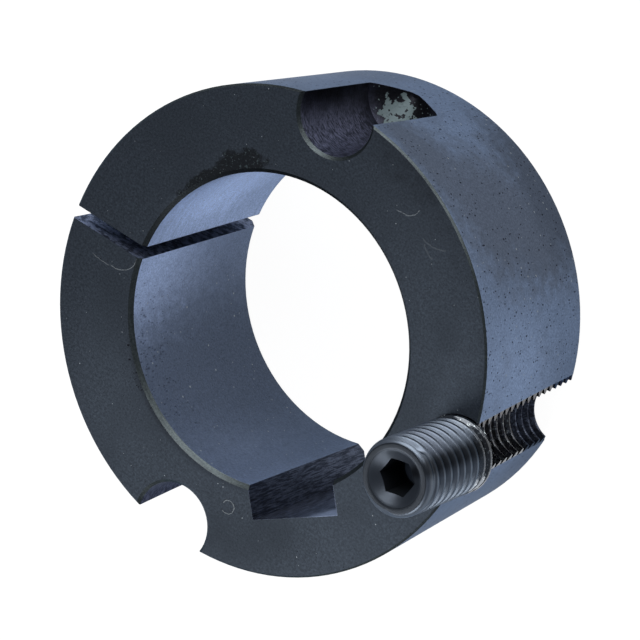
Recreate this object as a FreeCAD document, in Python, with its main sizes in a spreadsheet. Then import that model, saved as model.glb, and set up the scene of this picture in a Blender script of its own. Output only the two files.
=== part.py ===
"""Split taper bushing with its grub screw, as a parametric document.

The bushing is one piece: a tapered ring, sawn through one wall, with a
keyway in its bore and three half-holes across the outer edge of its
large face. One half-hole is threaded and goes right through. The other
two are plain and blind. One grub screw stands in the threaded half-hole,
caught by about one turn of its thread.

Frame: the axis of the bore is Z, the small end stands on Z = 0 and the
large face looks up. +X points from the axis to the threaded half-hole,
so the saw cut is at -X.
"""

import FreeCAD
import Part
import os
import Sketcher

# Sizes in millimetres and degrees.

SIZES = [
    # The tapered ring
    ("large_diameter", "69.85"),
    ("bush_length", "31.75"),
    ("taper_angle", "4"),
    ("bore_diameter", "45"),
    ("bore_mouth_chamfer", "0.6"),
    ("bore_foot_chamfer", "1.25"),
    ("foot_chamfer", "0.65"),
    ("rim_chamfer", "0.3"),
    # The saw cut and the keyway
    ("split_width", "2"),
    ("key_width", "14"),
    ("key_rise", "3.8"),
    ("key_bearing", "-56"),
    # The half-holes, whose axes all lie a little inside the large edge
    ("hole_inset", "1.5875"),
    ("thread_diameter", "11.1125"),
    ("thread_clearance", "0.05"),
    ("pocket_diameter", "11.6"),
    ("pocket_depth", "19.3"),
    ("pocket_point_angle", "118"),
    ("pocket_point_flat", "1.2"),
    ("pocket_bearing", "94.7"),
    ("pocket_mouth_chamfer", "0.45"),
    ("pocket_corner_chamfer", "0.6"),
    # The grub screw
    ("screw_length", "19.05"),
    ("screw_engagement", "2"),
    ("screw_head_chamfer", "1"),
    ("screw_tip_chamfer", "1.6"),
    ("socket_across_flats", "4.7625"),
    ("socket_depth", "7"),
    ("socket_mouth_diameter", "8.2"),
    ("socket_mouth_angle", "120"),
    ("socket_drill_angle", "118"),
    ("socket_bearing", "13.2"),
]

doc = FreeCAD.newDocument("split_taper_bushing")
sheet = doc.addObject("Spreadsheet::Sheet", "Sizes")
for row, (alias, value) in enumerate(SIZES, start=1):
    sheet.set("A%d" % row, alias)
    sheet.set("B%d" % row, value)
    sheet.setAlias("B%d" % row, alias)
doc.recompute()

# Expressions shared by several features.

MM = " * 1 mm"
DEG = " * 1 deg"
BORE_RADIUS = "Sizes.bore_diameter / 2"
LARGE_RADIUS = "Sizes.large_diameter / 2"
CIRCLE_RADIUS = "Sizes.large_diameter / 2 - Sizes.hole_inset"
THREAD_RADIUS = "Sizes.thread_diameter / 2"
HALF_HOLE_DIAMETER = "Sizes.thread_diameter + 2 * Sizes.thread_clearance"
POCKET_RADIUS = "Sizes.pocket_diameter / 2"
FLATS_RADIUS = "Sizes.socket_across_flats / 2"
MOUTH_RADIUS = "Sizes.socket_mouth_diameter / 2"


def vec(first, second):
    """Return a point of a sketch's plane."""
    return FreeCAD.Vector(first, second, 0)


def new_body(label):
    """Add an empty body whose label names its file."""
    body = doc.addObject("PartDesign::Body", label)
    body.Label = label
    return body


def origin_feature(body, role):
    """Return the plane or axis of a body's own origin."""
    for feature in body.Origin.OriginFeatures:
        if feature.Role == role:
            return feature
    raise ValueError("no origin feature " + role)


def new_sketch(body, name, role):
    """Add a sketch on one of the body's origin planes."""
    sketch = body.newObject("Sketcher::SketchObject", name)
    sketch.AttachmentSupport = [(origin_feature(body, role), "")]
    sketch.MapMode = "FlatFace"
    return sketch


def closed_outline(sketch, points):
    """Draw straight lines from point to point and join their ends."""
    count = len(points)
    for index in range(count):
        start = vec(*points[index])
        end = vec(*points[(index + 1) % count])
        sketch.addGeometry(Part.LineSegment(start, end), False)
    for index in range(count):
        following = (index + 1) % count
        sketch.addConstraint(Sketcher.Constraint("Coincident", index, 2, following, 1))


def lay(sketch, kind, *lines):
    """Make lines horizontal or vertical."""
    for line in lines:
        sketch.addConstraint(Sketcher.Constraint(kind, line))


def size_of(sketch, name, expression, *constraint):
    """Add a named dimension and bind it to the sheet."""
    index = sketch.addConstraint(Sketcher.Constraint(*constraint))
    sketch.renameConstraint(index, name)
    sketch.setExpression("Constraints." + name, expression)


def across(sketch, name, point, expression, value):
    """Set a line start's distance from the sketch's upright axis."""
    size_of(sketch, name, expression, "DistanceX", -1, 1, point, 1, value)


def above(sketch, name, point, expression, value):
    """Set a line start's height over the sketch's level axis."""
    size_of(sketch, name, expression, "DistanceY", -1, 1, point, 1, value)


def revolve(body, kind, name, sketch, axis):
    """Turn a sketch once round an axis, to add or to cut."""
    feature = body.newObject(kind, name)
    feature.Profile = sketch
    feature.ReferenceAxis = (sketch, [axis])
    feature.Angle = 360
    return feature


def checked_cut(body, feature):
    """Recompute and make sure that a cut has taken material."""
    before = body.Tip.BaseFeature.Shape.Volume
    doc.recompute()
    if feature.Shape.isNull() or feature.Shape.Volume > before - 1e-3:
        raise RuntimeError(feature.Name + " cuts nothing")
    return feature


def circle_edge(shape, height, radius):
    """Return the name of the round edge at one height and radius."""
    for number, edge in enumerate(shape.Edges, start=1):
        curve = edge.Curve
        if not isinstance(curve, Part.Circle):
            continue
        if abs(curve.Center.z - height) < 1e-4 and abs(curve.Radius - radius) < 1e-4:
            return "Edge%d" % number
    raise RuntimeError("no round edge at height %g" % height)


def chamfer(body, name, height, radius, alias):
    """Bevel a round edge, found by its height and radius."""
    base = body.Tip
    feature = body.newObject("PartDesign::Chamfer", name)
    feature.Base = (base, [circle_edge(base.Shape, height, radius)])
    feature.Size = sheet.get(alias)
    feature.setExpression("Size", "Sizes." + alias + MM)
    doc.recompute()
    return feature


# The bushing: the section of the ring, turned round the bore's axis

bush = new_body("split_bush")
ring_section = new_sketch(bush, "ring_section", "XZ_Plane")
closed_outline(ring_section, [(22.5, 0), (32.7, 0), (34.9, 31), (22.5, 31)])
lay(ring_section, "Horizontal", 0, 2)
lay(ring_section, "Vertical", 3)
ring_section.addConstraint(Sketcher.Constraint("PointOnObject", 0, 1, -1))
across(ring_section, "bore_radius", 0, "(" + BORE_RADIUS + ")" + MM, 22.5)
across(ring_section, "large_radius", 2, "(" + LARGE_RADIUS + ")" + MM, 34.9)
above(ring_section, "length", 2, "Sizes.bush_length" + MM, 31)
size_of(ring_section, "taper", "90 deg - Sizes.taper_angle" + DEG, "Angle", 1, 1.5)
ring = revolve(bush, "PartDesign::Revolution", "ring", ring_section, "V_Axis")
doc.recompute()

small_radius = min(e.Curve.Radius for e in ring.Shape.Edges
                   if isinstance(e.Curve, Part.Circle) and e.Curve.Center.z < 1
                   and e.Curve.Radius > sheet.bore_diameter / 2 + 1)
chamfer(bush, "bore_mouth", sheet.bush_length, sheet.bore_diameter / 2,
        "bore_mouth_chamfer")
chamfer(bush, "bore_foot", 0, sheet.bore_diameter / 2, "bore_foot_chamfer")
chamfer(bush, "foot", 0, small_radius, "foot_chamfer")
chamfer(bush, "rim", sheet.bush_length, sheet.large_diameter / 2, "rim_chamfer")

# The saw cut through the wall at -X, from end to end

split_plan = new_sketch(bush, "split_plan", "XY_Plane")
closed_outline(split_plan, [(-36, -1), (0, -1), (0, 1), (-36, 1)])
lay(split_plan, "Horizontal", 0, 2)
lay(split_plan, "Vertical", 1, 3)
split_plan.addConstraint(Sketcher.Constraint("Symmetric", 1, 1, 1, 2, -1, 1))
size_of(split_plan, "reach", "Sizes.large_diameter" + MM,
        "DistanceX", 0, 1, 0, 2, 36)
size_of(split_plan, "width", "Sizes.split_width" + MM,
        "DistanceY", 1, 1, 1, 2, 2)
split = bush.newObject("PartDesign::Pocket", "split")
split.Profile = split_plan
split.Type = "ThroughAll"
split.Reversed = True
checked_cut(bush, split)

# The keyway: a square-cornered slot in the bore, from end to end

key_plan = new_sketch(bush, "key_plan", "XY_Plane")
key_plan.setExpression("AttachmentOffset.Rotation.Angle", "Sizes.key_bearing" + DEG)
closed_outline(key_plan, [(0, -7), (26.3, -7), (26.3, 7), (0, 7)])
lay(key_plan, "Horizontal", 0, 2)
lay(key_plan, "Vertical", 1, 3)
key_plan.addConstraint(Sketcher.Constraint("Symmetric", 3, 2, 3, 1, -1, 1))
size_of(key_plan, "floor", "(" + BORE_RADIUS + " + Sizes.key_rise)" + MM,
        "DistanceX", 0, 1, 0, 2, 26.3)
size_of(key_plan, "width", "Sizes.key_width" + MM,
        "DistanceY", 1, 1, 1, 2, 14)
keyway = bush.newObject("PartDesign::Pocket", "keyway")
keyway.Profile = key_plan
keyway.Type = "ThroughAll"
keyway.Reversed = True
checked_cut(bush, keyway)

# The threaded half-hole at +X, open along the taper and right through.
# Its wall is at the thread's outer diameter with a running clearance.

thread_plan = new_sketch(bush, "thread_plan", "XY_Plane")
thread_plan.addGeometry(Part.Circle(vec(33.3, 0), FreeCAD.Vector(0, 0, 1), 5.6), False)
thread_plan.addConstraint(Sketcher.Constraint("PointOnObject", 0, 3, -1))
size_of(thread_plan, "circle", "(" + CIRCLE_RADIUS + ")" + MM,
        "DistanceX", -1, 1, 0, 3, 33.3)
size_of(thread_plan, "bore", "(" + HALF_HOLE_DIAMETER + ")" + MM,
        "Diameter", 0, 11.2)
half_hole = bush.newObject("PartDesign::Pocket", "threaded_half_hole")
half_hole.Profile = thread_plan
half_hole.Type = "ThroughAll"
half_hole.Reversed = True
checked_cut(bush, half_hole)

# The blind half-holes: a drilled section with a bevelled mouth, a drill
# point at its end and a bevelled corner between wall and point, turned
# round its own axis and mirrored to the other side of the threaded
# half-hole. The depth is measured to the edge of the point.

pocket_section = new_sketch(bush, "pocket_section", "XZ_Plane")
pocket_section.AttachmentOffset = FreeCAD.Placement(
    FreeCAD.Vector(0, 0, 0), FreeCAD.Rotation(FreeCAD.Vector(0, 1, 0), 94.7))
pocket_section.setExpression("AttachmentOffset.Rotation.Angle",
                             "Sizes.pocket_bearing" + DEG)
closed_outline(pocket_section, [
    (33.3, 9.7), (33.9, 9.7), (38.5, 12.45), (39.1, 13.05), (39.1, 31.3),
    (39.6, 31.75), (39.6, 33), (33.3, 33),
])
pocket_section.addGeometry(Part.LineSegment(vec(33.3, 0), vec(33.3, 40)), True)
lay(pocket_section, "Horizontal", 0, 6)
lay(pocket_section, "Vertical", 3, 5, 7, 8)
pocket_section.addConstraint(Sketcher.Constraint("PointOnObject", 0, 1, 8))
pocket_section.addConstraint(Sketcher.Constraint("PointOnObject", 8, 1, -1))
TOP = "Sizes.bush_length"
CORNER = "Sizes.pocket_corner_chamfer"
MOUTH = "Sizes.pocket_mouth_chamfer"
across(pocket_section, "axis", 0, "(" + CIRCLE_RADIUS + ")" + MM, 33.3)
size_of(pocket_section, "point_flat", "Sizes.pocket_point_flat / 2" + MM,
        "DistanceX", 0, 1, 0, 2, 0.6)
above(pocket_section, "end", 2, "(" + TOP + " - Sizes.pocket_depth)" + MM, 12.45)
size_of(pocket_section, "point_across", "(" + POCKET_RADIUS + " - " + CORNER + ")" + MM,
        "DistanceX", 0, 1, 1, 2, 5.2)
size_of(pocket_section, "point_slope", "90 deg - Sizes.pocket_point_angle / 2" + DEG,
        "Angle", 1, 0.54)
size_of(pocket_section, "corner_across", "(" + CORNER + ")" + MM,
        "DistanceX", 2, 1, 2, 2, 0.6)
size_of(pocket_section, "corner_up", "(" + CORNER + ")" + MM,
        "DistanceY", 2, 1, 2, 2, 0.6)
size_of(pocket_section, "mouth_across", "(" + MOUTH + ")" + MM,
        "DistanceX", 4, 1, 4, 2, 0.45)
size_of(pocket_section, "mouth_up", "(" + MOUTH + ")" + MM,
        "DistanceY", 4, 1, 4, 2, 0.45)
above(pocket_section, "mouth", 5, "(" + TOP + ")" + MM, 31.75)
size_of(pocket_section, "run_out", "(" + MOUTH + ")" + MM,
        "DistanceY", 5, 1, 5, 2, 1)
size_of(pocket_section, "axis_line", "(" + TOP + ")" + MM,
        "DistanceY", 8, 1, 8, 2, 40)
pocket = revolve(bush, "PartDesign::Groove", "blind_half_hole", pocket_section, "Axis0")
checked_cut(bush, pocket)
other_pocket = bush.newObject("PartDesign::Mirrored", "other_blind_half_hole")
other_pocket.Originals = [pocket]
other_pocket.MirrorPlane = (origin_feature(bush, "XZ_Plane"), [""])
bush.Tip = other_pocket
doc.recompute()
if other_pocket.Shape.Volume > pocket.Shape.Volume - 1e-3:
    raise RuntimeError("the mirrored half-hole cuts nothing")
bush.Placement = FreeCAD.Placement()

# The grub screw: a bar at the thread's outer diameter with bevelled ends.
# Its own frame has its tip on Z = 0 and its axis on Z.

screw = new_body("grub_screw")
screw_section = new_sketch(screw, "screw_section", "XZ_Plane")
closed_outline(screw_section, [
    (0, 0), (4.3, 0), (5.6, 1.3), (5.6, 17.8), (4.4, 19), (0, 19),
])
lay(screw_section, "Horizontal", 0, 4)
lay(screw_section, "Vertical", 2, 5)
screw_section.addConstraint(Sketcher.Constraint("Coincident", 0, 1, -1, 1))
TIP = "Sizes.screw_tip_chamfer"
HEAD = "Sizes.screw_head_chamfer"
across(screw_section, "radius", 2, "(" + THREAD_RADIUS + ")" + MM, 5.6)
size_of(screw_section, "tip_across", TIP + MM, "DistanceX", 1, 1, 1, 2, 1.3)
size_of(screw_section, "tip_up", TIP + MM, "DistanceY", 1, 1, 1, 2, 1.3)
size_of(screw_section, "head_across", HEAD + MM, "DistanceX", 3, 2, 3, 1, 1.2)
size_of(screw_section, "head_up", HEAD + MM, "DistanceY", 3, 1, 3, 2, 1.2)
above(screw_section, "length", 5, "Sizes.screw_length" + MM, 19)
revolve(screw, "PartDesign::Revolution", "shank", screw_section, "V_Axis")
doc.recompute()

# The hexagon socket, from the screw's outer end

SCREW_TOP = "Sizes.screw_length"
hexagon = new_sketch(screw, "hexagon", "XY_Plane")
hexagon.setExpression("AttachmentOffset.Base.z", SCREW_TOP + MM)
hexagon.setExpression("AttachmentOffset.Rotation.Angle", "Sizes.socket_bearing" + DEG)
closed_outline(hexagon, [
    (2.75, 0), (1.37, 2.38), (-1.37, 2.38), (-2.75, 0), (-1.37, -2.38), (1.37, -2.38),
])
hexagon.addGeometry(Part.Circle(vec(0, 0), FreeCAD.Vector(0, 0, 1), 2.75), True)
hexagon.addConstraint(Sketcher.Constraint("Coincident", 6, 3, -1, 1))
hexagon.addConstraint(Sketcher.Constraint("PointOnObject", 0, 1, -1))
for side in range(1, 6):
    hexagon.addConstraint(Sketcher.Constraint("Equal", 0, side))
for corner in range(6):
    hexagon.addConstraint(Sketcher.Constraint("PointOnObject", corner, 1, 6))
size_of(hexagon, "corners", "(" + FLATS_RADIUS + ") / cos(30 deg)" + MM,
        "Radius", 6, 2.75)
socket = screw.newObject("PartDesign::Pocket", "socket")
socket.Profile = hexagon
socket.Length = 7
socket.setExpression("Length", "Sizes.socket_depth" + MM)
checked_cut(screw, socket)

# The countersunk mouth of the socket and the drilled cone at its end

mouth_section = new_sketch(screw, "mouth_section", "XZ_Plane")
closed_outline(mouth_section, [(0, 16.8), (3.95, 19), (0, 19)])
lay(mouth_section, "Horizontal", 1)
lay(mouth_section, "Vertical", 2)
mouth_section.addConstraint(Sketcher.Constraint("PointOnObject", 0, 1, -2))
across(mouth_section, "mouth", 1, "(" + MOUTH_RADIUS + ")" + MM, 3.95)
above(mouth_section, "top", 1, SCREW_TOP + MM, 19)
size_of(mouth_section, "slope", "90 deg - Sizes.socket_mouth_angle / 2" + DEG,
        "Angle", 0, 0.5)
mouth = revolve(screw, "PartDesign::Groove", "socket_mouth", mouth_section, "V_Axis")
checked_cut(screw, mouth)

cone_section = new_sketch(screw, "cone_section", "XZ_Plane")
closed_outline(cone_section, [(0, 10.6), (2.38, 12), (0, 12)])
lay(cone_section, "Horizontal", 1)
lay(cone_section, "Vertical", 2)
cone_section.addConstraint(Sketcher.Constraint("PointOnObject", 0, 1, -2))
across(cone_section, "drill", 1, "(" + FLATS_RADIUS + ")" + MM, 2.38)
above(cone_section, "socket_end", 1, "(" + SCREW_TOP + " - Sizes.socket_depth)" + MM, 12)
size_of(cone_section, "slope", "90 deg - Sizes.socket_drill_angle / 2" + DEG,
        "Angle", 0, 0.5)
cone = revolve(screw, "PartDesign::Groove", "socket_end", cone_section, "V_Axis")
checked_cut(screw, cone)

# The screw stands on the threaded half-hole's axis, with its tip as far
# below the large face as it is engaged.

screw.setExpression("Placement.Base.x", "(" + CIRCLE_RADIUS + ")" + MM)
screw.setExpression("Placement.Base.z",
                    "(Sizes.bush_length - Sizes.screw_engagement)" + MM)
doc.recompute()

# Checks and files

for item in doc.Objects:
    if "Invalid" in item.State or "Error" in item.State:
        raise RuntimeError(item.Name + " failed: " + ", ".join(item.State))
for body in (bush, screw):
    if body.Shape.isNull() or not body.Shape.isValid():
        raise RuntimeError(body.Label + " has no valid shape")
    if len(body.Shape.Solids) != 1:
        raise RuntimeError(body.Label + " is not one solid")
os.makedirs("parts", exist_ok=True)
for body in (bush, screw):
    body.Shape.exportStep("parts/" + body.Label + ".step")
    box = body.Shape.BoundBox
    print(body.Label, round(body.Shape.Volume, 1), "mm3, box",
          [round(v, 3) for v in (box.XMin, box.YMin, box.ZMin, box.XMax, box.YMax, box.ZMax)])
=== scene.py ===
"""Split taper bushing with one grub screw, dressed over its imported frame.

The bushing's own solid stays and gets one finish that tells its surfaces
apart by where they are. Two pieces are new: the thread inside the open
half-hole, and the grub screw with its real thread and hexagon socket.
Lengths are millimetres until a mesh is written in metres. The studio's
are metres.
"""

import logging
import math
from dataclasses import dataclass, field
from enum import Enum
from functools import reduce
from typing import Any, Union

import bpy
import numpy as np
from mathutils import Matrix, Vector


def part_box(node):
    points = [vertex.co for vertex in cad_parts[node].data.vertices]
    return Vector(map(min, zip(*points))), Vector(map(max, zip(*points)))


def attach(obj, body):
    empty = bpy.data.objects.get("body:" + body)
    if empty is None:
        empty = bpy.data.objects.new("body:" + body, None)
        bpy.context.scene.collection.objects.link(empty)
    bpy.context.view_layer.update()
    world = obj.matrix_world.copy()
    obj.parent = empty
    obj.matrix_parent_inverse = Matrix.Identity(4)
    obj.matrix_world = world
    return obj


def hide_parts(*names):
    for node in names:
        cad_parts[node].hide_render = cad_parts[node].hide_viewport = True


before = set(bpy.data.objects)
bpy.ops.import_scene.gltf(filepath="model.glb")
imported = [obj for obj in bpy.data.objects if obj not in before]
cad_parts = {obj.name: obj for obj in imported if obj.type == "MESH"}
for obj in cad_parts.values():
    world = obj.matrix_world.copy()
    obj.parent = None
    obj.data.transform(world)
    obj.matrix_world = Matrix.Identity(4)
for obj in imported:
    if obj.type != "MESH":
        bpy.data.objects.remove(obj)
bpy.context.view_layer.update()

LOG = logging.getLogger("taper_bushing")
MM = 0.001
TURN = 2.0 * math.pi
UNROLLING_RADIUS = 25.0
# Height of a face's normal where the face starts to count as level, and where it fully does
LEVEL = (0.9, 0.98)

Array = np.ndarray
Socket = bpy.types.NodeSocket
Tree = bpy.types.NodeTree
Input = Union[float, tuple, Socket]
Colour = tuple[float, float, float, float]
Triple = tuple[float, float, float]


class Body(Enum):
    """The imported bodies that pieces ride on."""

    BUSH = "bush"
    SCREW = "screw"


class Slot(Enum):
    """The record's material slots."""

    IRON = "blackened_iron"
    STEEL = "blackened_steel"


# Meshes


def linked(name: str, data: bpy.types.ID) -> bpy.types.Object:
    """Put new data into the scene.

    Args:
        name: The object's name.
        data: Its mesh, lamp or camera.

    Returns:
        The object, linked to the scene.
    """
    made = bpy.data.objects.new(name, data)
    bpy.context.scene.collection.objects.link(made)
    return made


def about_axis(centre_x: float, radius: Array, height: Array, angle: Array) -> Array:
    """Return points at a radius, height and angle about an upright axis in the plane of X and Z."""
    radius, height, angle = np.broadcast_arrays(radius, height, angle)
    return np.stack([centre_x + radius * np.cos(angle), radius * np.sin(angle), height], -1)


@dataclass
class Skin:
    """Points and faces of one closed surface, gathered patch by patch."""

    points: list[Array] = field(default_factory=list)
    faces: list[Array] = field(default_factory=list)
    count: int = 0
    crease: float = 42.0

    def add_points(self, grid: Array) -> Array:
        """Add a grid of points.

        Args:
            grid: Points, with x, y and z along the last axis.

        Returns:
            The points' numbers, in the grid's own shape.
        """
        flat = grid.reshape(-1, 3)
        numbers = np.arange(self.count, self.count + len(flat)).reshape(grid.shape[:-1])
        self.points.append(flat)
        self.count += len(flat)
        return numbers

    def add_sheet(self, numbers: Array) -> None:
        """Add a four-sided face between each two rows and two columns of point numbers."""
        quads = np.stack([numbers[:-1, :-1], numbers[:-1, 1:], numbers[1:, 1:], numbers[1:, :-1]], -1)
        self.faces.append(quads.reshape(-1, 4))

    def add_fan(self, ring: Array, pole: int) -> None:
        """Close a ring of point numbers, the first repeated last, with triangles to a pole."""
        self.faces.append(np.stack([ring[:-1], ring[1:], np.full(len(ring) - 1, pole)], -1))

    def make(self, name: str) -> bpy.types.Object:
        """Write the surface in metres, with edges that turn by more than the crease kept sharp.

        Args:
            name: The object's name.

        Returns:
            The new object, linked to the scene.
        """
        mesh = bpy.data.meshes.new(name)
        points = np.concatenate(self.points) * MM
        sides = np.concatenate([np.full(len(part), part.shape[1]) for part in self.faces])
        corners = np.concatenate([part.ravel() for part in self.faces])
        mesh.vertices.add(len(points))
        mesh.vertices.foreach_set("co", points.astype(np.float32).ravel())
        mesh.loops.add(len(corners))
        mesh.loops.foreach_set("vertex_index", corners.astype(np.int32))
        mesh.polygons.add(len(sides))
        mesh.polygons.foreach_set("loop_start", (np.cumsum(sides) - sides).astype(np.int32))
        mesh.polygons.foreach_set("use_smooth", np.ones(len(sides), bool))
        mesh.update(calc_edges=True)
        mesh.validate()
        mesh.set_sharp_from_angle(angle=math.radians(self.crease))
        return linked(name, mesh)


# Threads


@dataclass(frozen=True)
class Thread:
    """A right-hand thread with 55 degree flanks, full crests and rounded roots.

    With x the distance along the axis from the nearest crest, the radius
    is top - arc + sqrt(arc^2 - x^2) near the crest, the same mirrored near
    the root, and falls by x / tan(27.5 degrees) between them. The whole
    profile then stands out by the fullness and is cut off at the outer
    diameter, which leaves broad crests and narrow grooves. The cut is a
    soft one: at its edge a quarter of the softness comes off besides.
    """

    diameter: float = 11.1125
    pitch: float = 25.4 / 14
    half_flank: float = math.radians(27.5)
    depth_share: float = 0.6403
    arc_share: float = 0.1373
    first_crest: float = 31.95
    fullness: float = 0.2
    softness: float = 0.12

    @property
    def top(self) -> float:
        """Radius of the crests."""
        return self.diameter / 2

    @property
    def depth(self) -> float:
        """Height of the rounded profile."""
        return self.depth_share * self.pitch

    @property
    def arc(self) -> float:
        """Radius of the rounded crests and roots."""
        return self.arc_share * self.pitch

    def radius(self, height: Array, angle: Array, clearance: float = 0.0) -> Array:
        """Work out the thread's radius.

        Args:
            height: Height in the row frame.
            angle: Angle round the screw's axis, counted from +X.
            clearance: What is added to the radius everywhere.

        Returns:
            The radius at each height and angle.
        """
        turns = (height - self.first_crest) / self.pitch - angle / TURN
        along = np.abs(turns - np.round(turns)) * self.pitch
        reach = self.arc * math.cos(self.half_flank)
        crest = self.top - self.arc + np.sqrt(np.maximum(self.arc ** 2 - along ** 2, 0))
        back = self.pitch / 2 - along
        root = self.top - self.depth + self.arc - np.sqrt(np.maximum(self.arc ** 2 - back ** 2, 0))
        start = self.top - self.arc * (1 - math.sin(self.half_flank))
        flank = start - (along - reach) / math.tan(self.half_flank)
        profile = np.where(along < reach, crest, np.where(back < reach, root, flank))
        over = profile + self.fullness - self.top
        near = np.maximum(1 - np.abs(over) / self.softness, 0)
        return self.top + np.minimum(over, 0) - 0.25 * self.softness * near ** 2 + clearance


@dataclass
class GrubScrew:
    """The headless screw, standing in the open half-hole.

    The open side starts where the cosine of the angle is open_from, and is
    full once that has risen by open_rise. The edge profile rounds the
    socket's mouth: each pair is out and down, in shares of the edge.
    """

    thread: Thread
    centre_x: float
    low: float
    high: float
    shoulder_drop: float = 0.85
    shoulder_length: float = 1.25
    thread_start: float = 0.75
    thread_full: float = 2.7
    open_from: float = 0.12
    open_rise: float = 0.3
    tip_bevel: float = 1.6
    across_flats: float = 4.7625
    socket_depth: float = 7.0
    mouth_diameter: float = 8.2
    mouth_half_angle: float = math.radians(60)
    drill_half_angle: float = math.radians(59)
    socket_bearing: float = math.radians(13.2)
    edge: float = 0.09
    edge_profile: tuple[tuple[float, float], ...] = ((2.0, 0.0), (0.7, 0.12), (-0.5, 0.5))
    columns: int = 132
    rows_per_pitch: int = 24
    shoulder_rows: int = 32
    cone_rows: int = 5
    flat_rows: int = 10
    flat_start: float = 0.04

    def shank(self, angle: Array) -> Array:
        """Work out the threaded side as a grid.

        On the open side the thread's depth grows smoothly from nothing
        under the head's rounded shoulder. On the side of the bushing its
        grooves run out through the shoulder, so that the half-hole's
        ridges pass. The shoulder is a quarter of an ellipse, and its rows
        lie at even steps round it. Near the tip the radius is cut down to
        the bevel's, which grows by one for each unit of height.

        Args:
            angle: The columns' angles.

        Returns:
            Points by row and column, from the tip to the head.
        """
        straight = self.high - self.low - self.shoulder_length
        count = int(straight / self.thread.pitch * self.rows_per_pitch)
        turn = np.linspace(0, math.pi / 2, self.shoulder_rows)[1:]
        shoulder = straight + self.shoulder_length * np.sin(turn)
        rows = np.concatenate([np.linspace(0, straight, count), shoulder])
        height = (self.low + rows)[:, None] + 0 * angle
        below = self.high - height
        top = self.thread.top
        share = np.clip(1 - below / self.shoulder_length, 0, 1)
        drop = self.shoulder_drop * (1 - np.sqrt(1 - share ** 2))
        fade = np.clip((below - self.thread_start) / (self.thread_full - self.thread_start), 0, 1)
        fade = fade * fade * (3 - 2 * fade)
        thread = self.thread.radius(height, angle)
        faded = top - drop - fade * (top - thread)
        open_side = np.clip((np.cos(angle) - self.open_from) / self.open_rise, 0, 1)
        radius = open_side * faded + (1 - open_side) * np.minimum(top - drop, thread)
        tip = top - self.tip_bevel + (height - self.low)
        return about_axis(self.centre_x, np.minimum(radius, tip), height, angle)

    def head(self, angle: Array) -> Array:
        """Work out the end face, the countersink and the hexagon as a grid.

        The hexagon's radius is half its width over flats divided by the
        cosine of the angle from the middle of the nearest flat. The
        countersink is a cone, so it meets each flat in a curve.

        Args:
            angle: The columns' angles.

        Returns:
            Points by row and column, from the outer edge to the drill's cone.
        """
        apothem = self.across_flats / 2
        from_corner = (angle - self.socket_bearing) % (TURN / 6)
        hexagon = apothem / np.cos(from_corner - TURN / 12)
        mouth = self.mouth_diameter / 2
        slope = math.tan(self.mouth_half_angle)
        floor = self.high - self.socket_depth
        lip = self.high - (mouth - hexagon) / slope
        cone = mouth - self.edge
        inward = [cone - s * (cone - hexagon) for s in np.linspace(0, 1, self.cone_rows)]
        rows = [(mouth + out * self.edge, self.high - down * self.edge) for out, down in self.edge_profile]
        rows += [(radius, self.high - (mouth - radius) / slope) for radius in inward]
        steps = np.linspace(self.flat_start, 1, self.flat_rows)
        rows += [(hexagon, (1 - s) * lip + s * floor) for s in steps]
        rows += [(apothem, floor),
                 (0.5 * apothem, floor - 0.5 * apothem / math.tan(self.drill_half_angle))]
        return np.stack([about_axis(self.centre_x, radius, height, angle) for radius, height in rows])

    def build(self) -> bpy.types.Object:
        """Make the screw as one closed surface from tip to socket.

        Returns:
            The screw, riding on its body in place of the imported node.
        """
        angle = self.socket_bearing + np.linspace(0, TURN, self.columns + 1)[:-1]
        skin = Skin()
        tip_radius = self.thread.top - self.tip_bevel - self.edge
        tip_ring = about_axis(self.centre_x, tip_radius, self.low, angle)[None]
        numbers = skin.add_points(np.concatenate([tip_ring, self.shank(angle), self.head(angle)]))
        numbers = np.concatenate([numbers, numbers[:, :1]], 1)
        drill = self.high - self.socket_depth - self.across_flats / 2 / math.tan(self.drill_half_angle)
        poles = skin.add_points(np.array([[self.centre_x, 0, self.low], [self.centre_x, 0, drill]]))
        skin.add_sheet(numbers)
        skin.add_fan(numbers[0, ::-1], int(poles[0]))
        skin.add_fan(numbers[-1], int(poles[1]))
        screw = skin.make("threaded_grub_screw")
        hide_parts("grub_screw")
        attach(screw, Body.SCREW.value)
        return screw


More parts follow.
